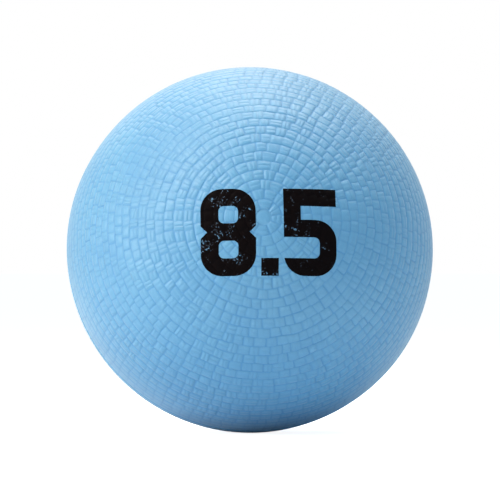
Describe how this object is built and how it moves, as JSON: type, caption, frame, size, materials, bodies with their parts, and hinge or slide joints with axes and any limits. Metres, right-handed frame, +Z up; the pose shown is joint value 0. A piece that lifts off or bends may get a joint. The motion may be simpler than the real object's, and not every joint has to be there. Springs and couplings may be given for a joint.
{
  "type": "dodgeball",
  "caption": "Inflatable rubber ball with a basket-weave moulded cover, a wound bladder and a self-sealing needle valve, for dodgeball and playground games.",
  "frame": {"origin": "centre of the ball", "axes": "+Z up; -Y towards the printed front, whose pole lies 10 degrees above level; +Y towards the valve, which lies 10 degrees below level; +X to the right as the print is read"},
  "size_m": [0.2164, 0.2162, 0.216],
  "materials": {
    "cover": "satin",
    "thread": "matte",
    "bladder": "matte",
    "valve": "satin",
    "plug": "satin",
    "ink": "matte"
  },
  "bodies": {
    "root": {"cover_front": "cover", "cover_back": "cover", "winding": "thread", "bladder": "bladder", "valve_patch": "bladder", "valve_housing": "valve", "valve_plug": "plug", "print": "ink"}
  },
  "joints": []
}
